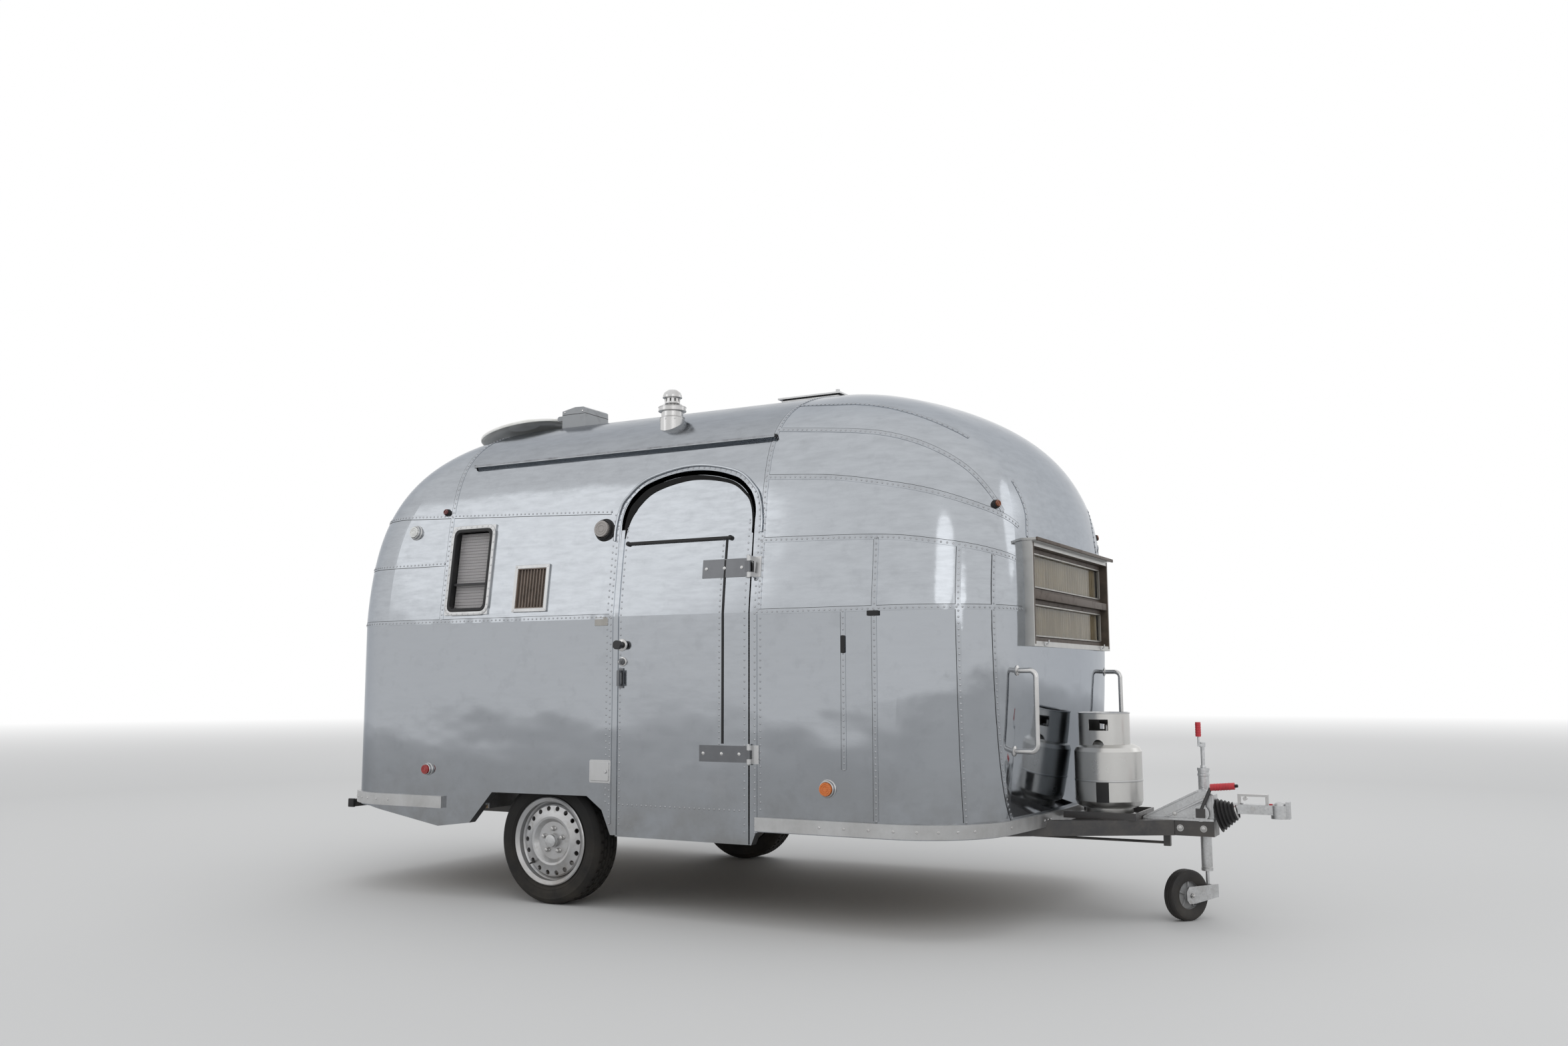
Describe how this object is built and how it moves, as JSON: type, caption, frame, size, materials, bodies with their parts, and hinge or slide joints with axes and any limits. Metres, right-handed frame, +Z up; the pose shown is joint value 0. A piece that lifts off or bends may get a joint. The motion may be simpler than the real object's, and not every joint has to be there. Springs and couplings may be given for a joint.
{
  "type": "travel caravan",
  "caption": "Single-axle travel caravan with a rounded riveted-aluminium body, side door, front bay window, gas bottle, overrun hitch and jockey wheel.",
  "frame": {"origin": "on the ground, at the centre of the bounding box's base", "axes": "+X forward to the coupling, -Y the door side, +Z up"},
  "size_m": [4.714, 2.172, 2.5462],
  "materials": {
    "polished_aluminium": "mirror polished sheet",
    "satin_aluminium": "satin, weathered",
    "black_steel": "semi-gloss black paint",
    "galvanised_steel": "dull zinc spangle",
    "silver_steel": "silver wheel paint",
    "tyre_rubber": "matt",
    "black_rubber": "matt",
    "floor_board": "sealed plywood",
    "window_glass": "clear",
    "clear_lens": "clear",
    "marker_lens": "coloured",
    "white_plastic": "gloss",
    "grey_plastic": "matt",
    "red_plastic": "gloss",
    "steel": "bright steel"
  },
  "bodies": {
    "caravan": {"axle": "black_steel", "bellows": "black_rubber", "bottle_tray": "black_steel", "brake_rod": "black_steel", "chassis_frame": "black_steel", "coupling_head": "galvanised_steel", "coupling_lever": "steel", "dish_base": "grey_plastic", "door_hinge_plates": "satin_aluminium", "drawbar": "black_steel", "floor_pan": "floor_board", "flue": "steel", "front_cap_centre": "polished_aluminium", "front_cap_sides": "polished_aluminium", "front_window_frame": "satin_aluminium", "gas_bottle": "satin_aluminium", "grab_handles": "steel", "handbrake_grip": "red_plastic", "handbrake_lever": "black_steel", "hitch_bracket": "black_steel", "jockey_clamp": "galvanised_steel", "jockey_grip": "red_plastic", "jockey_tube": "galvanised_steel", "lamp_bezels": "satin_aluminium", "lamp_lenses_clear": "clear_lens", "lamp_lenses_coloured": "marker_lens", "lower_front_cap": "polished_aluminium", "lower_left_wall": "polished_aluminium", "lower_rear_cap": "polished_aluminium", "lower_right_wall_front": "polished_aluminium", "lower_right_wall_rear": "polished_aluminium", "overrun_housing": "galvanised_steel", "rain_gutters": "black_rubber", "rear_bumper": "black_steel", "rear_caps": "polished_aluminium", "roof_panel": "polished_aluminium", "roof_vent_frame": "satin_aluminium", "rub_strips": "satin_aluminium", "side_window_frame": "satin_aluminium", "upper_left_wall": "polished_aluminium", "upper_right_wall": "polished_aluminium", "vent_grille": "satin_aluminium", "wheel_boxes": "satin_aluminium", "window_glass": "window_glass"},
    "wheel_right": {"tyre_right": "tyre_rubber", "rim_right": "silver_steel", "brake_drum_right": "black_steel"},
    "wheel_left": {"tyre_left": "tyre_rubber", "rim_left": "silver_steel", "brake_drum_left": "black_steel"},
    "door": {"door_leaf": "polished_aluminium", "door_fittings": "steel"},
    "jockey_slide": {"jockey_stem": "galvanised_steel"},
    "jockey_caster": {"jockey_fork": "galvanised_steel"},
    "jockey_roller": {"jockey_wheel": "black_rubber"},
    "vent_lid": {"roof_vent_lid": "satin_aluminium"},
    "dish": {"sat_dish": "white_plastic"}
  },
  "joints": [
    {"name": "wheel_right_spin", "type": "hinge", "parent": "caravan", "child": "wheel_right", "pos_m": [-0.856, -0.905, 0.295], "axis": [0, 1, 0], "continuous": true},
    {"name": "wheel_left_spin", "type": "hinge", "parent": "caravan", "child": "wheel_left", "pos_m": [-0.856, 0.905, 0.295], "axis": [0, 1, 0], "continuous": true},
    {"name": "door_hinge", "type": "hinge", "parent": "caravan", "child": "door", "pos_m": [0.291, -1.066, 0.733], "axis": [0, 0, 1], "range_deg": [0, 115]},
    {"name": "jockey_wind", "type": "slide", "parent": "caravan", "child": "jockey_slide", "axis": [0, 0, -1], "range_m": [0, 0.2]},
    {"name": "jockey_swivel", "type": "hinge", "parent": "jockey_slide", "child": "jockey_caster", "pos_m": [1.982, 0.1, 0.14], "axis": [0, 0, 1], "continuous": true},
    {"name": "jockey_spin", "type": "hinge", "parent": "jockey_caster", "child": "jockey_roller", "pos_m": [1.90819, -0.00943, 0.11], "axis": [0.829, -0.5592, 0], "continuous": true},
    {"name": "vent_lid_hinge", "type": "hinge", "parent": "caravan", "child": "vent_lid", "pos_m": [-0.058, 0, 2.514], "axis": [0, -1, 0], "range_deg": [0, 60]},
    {"name": "dish_hinge", "type": "hinge", "parent": "caravan", "child": "dish", "pos_m": [-1.326, -0.33, 2.5], "axis": [0, 1, 0], "range_deg": [0, 70]}
  ]
}
